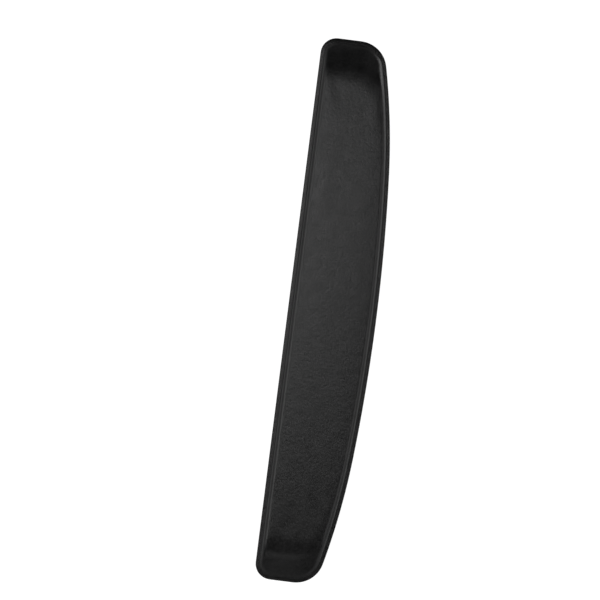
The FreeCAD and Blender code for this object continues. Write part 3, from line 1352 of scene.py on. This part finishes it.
@dataclass
class Base:
    """The rubber base sheet with low studs moulded under it. Sizes in metres."""

    outline: Outline
    bottom: float
    top: float
    stud_height: float = 0.00025
    stud_root: float = 0.0008
    stud_tip: float = 0.0005
    pitch: float = 0.0036
    margin: float = 0.0022
    edge_round: float = 0.0003
    stud_sides: int = 10
    tip_rub: float = 0.6
    sharp_angle: float = math.radians(40)

    def build(self, finish: bpy.types.Material) -> bpy.types.Object:
        """Builds the sheet and its studs as one piece. Its profile is an inset, a height and a rub each.

        Args:
            finish: the rubber's material.

        Returns:
            The base sheet.
        """
        points, normals = self.outline.stations()
        sole, soft = self.bottom + self.stud_height, self.edge_round
        profile = [
            (soft * 2, sole, 0.0),
            (soft, sole, 0.3),
            (soft * 0.3, sole + soft * 0.3, 0.8),
            (0.0, sole + soft, 0.5),
            (0.0, self.top - soft / 2, 0.1),
            (soft / 2, self.top, 0.1),
            (soft, self.top, 0.0),
        ]
        rows = np.stack(
            [np.column_stack([points - inset * normals, np.full(len(points), z)]) for inset, z, _ in profile]
        )
        flat = self.outline.fill(rows[0, :, :2])
        over = self.outline.fill(rows[-1, :, :2])
        under = np.column_stack([flat, np.full(len(flat), sole)])
        above = np.column_stack([over, np.full(len(over), self.top)])
        made, faces = self.outline.solid(rows, under, above)
        sheet = make_piece("rubber_base_sheet", made, faces)
        edge = np.zeros(len(made))
        rubs = [rub for _, _, rub in profile]
        edge[: len(profile) * self.outline.count] = np.repeat(rubs, self.outline.count)
        mark_points(sheet, RUB_ATTRIBUTE, edge)
        studs = self.build_studs(points - self.margin * normals, sole, finish)
        self.join(sheet, studs)
        sheet.data.set_sharp_from_angle(angle=self.sharp_angle)
        return sheet

    def build_studs(self, border: Array, sole: float, finish: bpy.types.Material) -> bpy.types.Object:
        """Lays staggered studs over the sole with Geometry Nodes.

        Args:
            border: the outline that the studs stay inside.
            sole: the height of the sole.
            finish: the rubber's material.

        Returns:
            The studs as a plain mesh object.
        """
        plate = np.column_stack([border, np.full(len(border), sole)])
        piece = make_piece("studs", plate, np.arange(len(plate))[None, :])
        tree = self.stud_tree()
        modifier = piece.modifiers.new("studs", "NODES")
        modifier.node_group = tree
        values = {
            "Pitch": self.pitch,
            "Length": self.outline.length,
            "Width": self.outline.width,
            "Stud Height": self.stud_height,
            "Root Radius": self.stud_root,
            "Tip Radius": self.stud_tip,
            "Sides": self.stud_sides,
            "Sole": sole,
            "Material": finish,
        }
        for item in tree.interface.items_tree:
            if item.in_out == "INPUT" and item.name in values:
                modifier[item.identifier] = values[item.name]
        bake_modifiers(piece)
        return piece

    @staticmethod
    def stud_tree() -> bpy.types.NodeTree:
        """Builds the node tree that lays studs: a staggered lattice, kept where it lies over the plate.

        Returns:
            The tree, with named inputs for its sizes.
        """
        tree = bpy.data.node_groups.new("grip_studs", "GeometryNodeTree")
        sockets = {
            "Geometry": "NodeSocketGeometry",
            "Pitch": FLOAT,
            "Length": FLOAT,
            "Width": FLOAT,
            "Stud Height": FLOAT,
            "Root Radius": FLOAT,
            "Tip Radius": FLOAT,
            "Sides": "NodeSocketInt",
            "Sole": FLOAT,
            "Material": "NodeSocketMaterial",
        }
        for title, kind in sockets.items():
            tree.interface.new_socket(title, in_out="INPUT", socket_type=kind)
        tree.interface.new_socket("Geometry", in_out="OUTPUT", socket_type="NodeSocketGeometry")
        graph = Graph(tree)
        given = graph.add("NodeGroupInput").outputs
        out = graph.add("NodeGroupOutput").inputs
        column_pitch = graph.math("MULTIPLY", given["Pitch"], math.sqrt(3) / 2)
        columns = graph.math("FLOOR", graph.math("DIVIDE", given["Length"], column_pitch))
        lines = graph.math("FLOOR", graph.math("DIVIDE", given["Width"], given["Pitch"]))
        size_x = graph.math("MULTIPLY", graph.math("SUBTRACT", columns, 1.0), column_pitch)
        size_y = graph.math("MULTIPLY", graph.math("SUBTRACT", lines, 1.0), given["Pitch"])
        counts = {"Vertices X": columns, "Vertices Y": lines, "Size X": size_x, "Size Y": size_y}
        lattice = graph.add("GeometryNodeMeshGrid", counts).outputs["Mesh"]
        number = graph.add("GeometryNodeInputIndex").outputs[0]
        column = graph.math("FLOOR", graph.math("DIVIDE", number, lines))
        odd = graph.math("MODULO", column, 2.0)
        half_pitch = graph.math("MULTIPLY", given["Pitch"], 0.5)
        shift = graph.math("MULTIPLY", graph.math("SUBTRACT", odd, 0.5), half_pitch)
        offset = graph.add("ShaderNodeCombineXYZ", {"Y": shift, "Z": given["Sole"]}).outputs[0]
        staggered = graph.add("GeometryNodeSetPosition", {"Geometry": lattice, "Offset": offset}).outputs[0]
        place = graph.add("GeometryNodeInputPosition").outputs[0]
        lowered = {0: place, 1: (0.0, 0.0, -LOOK_FROM)}
        below = graph.add("ShaderNodeVectorMath", lowered, operation="ADD").outputs[0]
        ray = {
            "Target Geometry": given["Geometry"],
            "Source Position": below,
            "Ray Direction": (0.0, 0.0, 1.0),
            "Ray Length": LOOK_FAR,
        }
        over_plate = graph.add("GeometryNodeRaycast", ray).outputs["Is Hit"]
        kept = {"Mesh": staggered, "Selection": over_plate, "Radius": DOT_RADIUS}
        spots = graph.add("GeometryNodeMeshToPoints", kept).outputs[0]
        shape = {
            "Vertices": given["Sides"],
            "Radius Top": given["Root Radius"],
            "Radius Bottom": given["Tip Radius"],
            "Depth": given["Stud Height"],
        }
        stud = graph.add("GeometryNodeMeshCone", shape).outputs["Mesh"]
        drop = graph.math("MULTIPLY", given["Stud Height"], -1.0)
        hang = graph.add("ShaderNodeCombineXYZ", {"Z": drop}).outputs[0]
        hung = graph.add("GeometryNodeTransform", {"Geometry": stud, "Translation": hang}).outputs[0]
        placed = graph.add("GeometryNodeInstanceOnPoints", {"Points": spots, "Instance": hung}).outputs[0]
        real = graph.add("GeometryNodeRealizeInstances", {0: placed}).outputs[0]
        dressed = graph.add("GeometryNodeSetMaterial", {"Geometry": real, "Material": given["Material"]})
        graph.feed(out["Geometry"], dressed.outputs[0])
        return tree

    def join(self, sheet: bpy.types.Object, studs: bpy.types.Object) -> None:
        """Adds the studs' mesh to the sheet's, worn at their tips.

        Args:
            sheet: the piece that is kept.
            studs: the piece that is used up.
        """
        added, kept = studs.data, sheet.data
        start, tips = len(kept.vertices), points_of(added)
        rub = np.empty(start, np.float32)
        kept.attributes[RUB_ATTRIBUTE].data.foreach_get("value", rub)
        low = tips[:, 2] < (tips[:, 2].min() + tips[:, 2].max()) / 2
        points = np.concatenate([points_of(kept), tips])
        faces = [list(face.vertices) for face in kept.polygons]
        faces += [[start + number for number in face.vertices] for face in added.polygons]
        mesh = bpy.data.meshes.new(sheet.name)
        mesh.from_pydata(points.tolist(), [], faces)
        mesh.polygons.foreach_set("use_smooth", np.ones(len(mesh.polygons), bool))
        sheet.data = mesh
        mark_points(sheet, RUB_ATTRIBUTE, np.concatenate([rub, self.tip_rub * low]))
        bpy.data.objects.remove(studs)
        bpy.data.meshes.remove(added)
        bpy.data.meshes.remove(kept)
        mesh.name = sheet.name


# --- Studio ---


@dataclass(frozen=True)
class Lamp:
    """A soft square lamp. Sizes in metres, power in watts."""

    name: str
    place: tuple[float, float, float]
    power: float
    size: float = 0.6
    aim: tuple[float, float, float] = (0.0, 0.0, 0.0)

    def build(self) -> None:
        """Hangs the lamp and turns it to its aim."""
        light = bpy.data.lights.new(self.name, "AREA")
        light.shape = "SQUARE"
        light.size = self.size
        light.energy = self.power
        lamp = bpy.data.objects.new(self.name, light)
        bpy.context.scene.collection.objects.link(lamp)
        lamp.location = self.place
        lamp.rotation_mode = "QUATERNION"
        lamp.rotation_quaternion = (Vector(self.aim) - Vector(self.place)).to_track_quat("-Z", "Y")


@dataclass(frozen=True)
class Studio:
    """Floor, world, lamps and camera. Sizes in metres."""

    camera_place: tuple[float, float, float] = (0.0063, 0.0255, 2.0)
    camera_turn: float = math.radians(-82.744)
    lens: float = 157.9
    sensor: float = 36.0
    clip_start: float = 0.05
    floor_reach: float = 12.0
    floor_gap: float = 0.0001
    floor_grey: float = 0.8
    shadow_grey: float = 0.22
    floor_glow: float = 0.9
    world_level: float = 0.1
    lamps: tuple[Lamp, ...] = (
        Lamp("overhead_front", (0.2, -0.3, 2.2), 2.6, size=0.3),
        Lamp("overhead_rear", (0.18, 0.3, 2.2), 9.6, size=0.3),
        Lamp("rear_top", (0.4, 1.1, 2.2), 1.2, size=0.3),
        Lamp("rear_soft", (-0.093, 1.334, 1.204), 23.0, size=1.2),
        Lamp("front_soft", (-0.197, -1.405, 1.108), 17.0, size=1.4),
        Lamp("left_end", (-1.526, 0.0, 0.954), 2.1, size=0.6),
        Lamp("under_side", (0.9, -1.0, -0.75), 14.0, size=0.4),
    )

    def build(self) -> None:
        """Builds the whole studio."""
        self.build_floor()
        self.build_world()
        for lamp in self.lamps:
            lamp.build()
        self.build_camera()
        bpy.context.scene.view_settings.view_transform = "Standard"

    def build_floor(self) -> None:
        """Lays a wide pale floor just under the pad."""
        reach, low = self.floor_reach, -self.floor_gap
        corners = [(-reach, -reach, low), (reach, -reach, low), (reach, reach, low), (-reach, reach, low)]
        floor = make_piece("studio_floor", np.array(corners), np.array([[0, 1, 2, 3]]))
        floor.data.materials.append(self.pale_material())

    def pale_material(self) -> bpy.types.Material:
        """A pale matt surface that shows white, keeps shadows, and can be seen through from behind.

        Returns:
            The material.
        """
        made, graph, surface = new_material("studio_white")
        rays = graph.add("ShaderNodeLightPath").outputs
        seen = graph.math("MAXIMUM", rays["Is Camera Ray"], rays["Is Glossy Ray"])
        seen = graph.math("MAXIMUM", seen, rays["Is Transmission Ray"])
        matt = graph.add("ShaderNodeBsdfDiffuse", {"Color": grey(self.floor_grey)}).outputs[0]
        shade = graph.add("ShaderNodeBsdfDiffuse", {"Color": grey(self.shadow_grey)}).outputs[0]
        light = {"Color": grey(1.0), "Strength": self.floor_glow}
        glow = graph.add("ShaderNodeEmission", light).outputs[0]
        shown = graph.add("ShaderNodeAddShader", {0: shade, 1: glow}).outputs[0]
        front = graph.add("ShaderNodeMixShader", {0: seen, 1: matt, 2: shown}).outputs[0]
        clear = graph.add("ShaderNodeBsdfTransparent").outputs[0]
        behind = graph.add("ShaderNodeNewGeometry").outputs["Backfacing"]
        open_to = graph.math("MAXIMUM", behind, rays["Is Shadow Ray"])
        graph.feed(surface, graph.add("ShaderNodeMixShader", {0: open_to, 1: front, 2: clear}).outputs[0])
        return made

    def build_world(self) -> None:
        """Sets an even world, white to the camera and dim to everything else."""
        world = bpy.data.worlds.new("studio_world")
        bpy.context.scene.world = world
        world.use_nodes = True
        world.node_tree.nodes.clear()
        graph = Graph(world.node_tree)
        out = graph.add("ShaderNodeOutputWorld").inputs["Surface"]
        seen = graph.add("ShaderNodeLightPath").outputs["Is Camera Ray"]
        strength = graph.ranged(seen, 0.0, 1.0, self.world_level, 1.0)
        sky = graph.add("ShaderNodeBackground", {"Color": grey(1.0), "Strength": strength})
        graph.feed(out, sky.outputs[0])

    def build_camera(self) -> None:
        """Hangs the camera straight above the pad, turned so that the pad stands nearly upright."""
        data = bpy.data.cameras.new("studio_camera")
        data.lens = self.lens
        data.sensor_width = self.sensor
        data.clip_start = self.clip_start
        camera = bpy.data.objects.new("studio_camera", data)
        bpy.context.scene.collection.objects.link(camera)
        camera.location = self.camera_place
        camera.rotation_euler = (0.0, 0.0, self.camera_turn)
        bpy.context.scene.camera = camera


# --- Assembly ---


def main() -> None:
    """Builds every piece in order."""
    logging.basicConfig(level=logging.INFO, format="%(message)s")
    effects = Effects()
    cover_low, cover_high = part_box("knit_cover")
    foam_low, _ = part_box("foam_core")
    base_low, base_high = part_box("base_sheet")
    outline = Outline(length=base_high.x - base_low.x, width=base_high.y - base_low.y)

    pad = Pad(outline, bottom=foam_low.z, foam_rim_top=cover_low.z, top=cover_high.z)
    cover, foam = pad.build()
    seat(cover, "knit_cover", KnitFinish().material(effects))
    seat(foam, "foam_core", FoamFinish().material(effects))
    log.info("cover: %d faces", len(cover.data.polygons))
    log.info("foam: %d faces", len(foam.data.polygons))

    rubber = RubberFinish().material(effects)
    base = Base(outline, bottom=base_low.z, top=base_high.z).build(rubber)
    seat(base, "base_sheet", rubber)
    log.info("base: %d faces", len(base.data.polygons))

    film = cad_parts["base_film"]
    for place in film.material_slots:
        place.material = FilmFinish().material(effects)
    log.info("film: CAD node, %d faces", len(film.data.polygons))

    Studio().build()


if __name__ == "__main__":
    main()
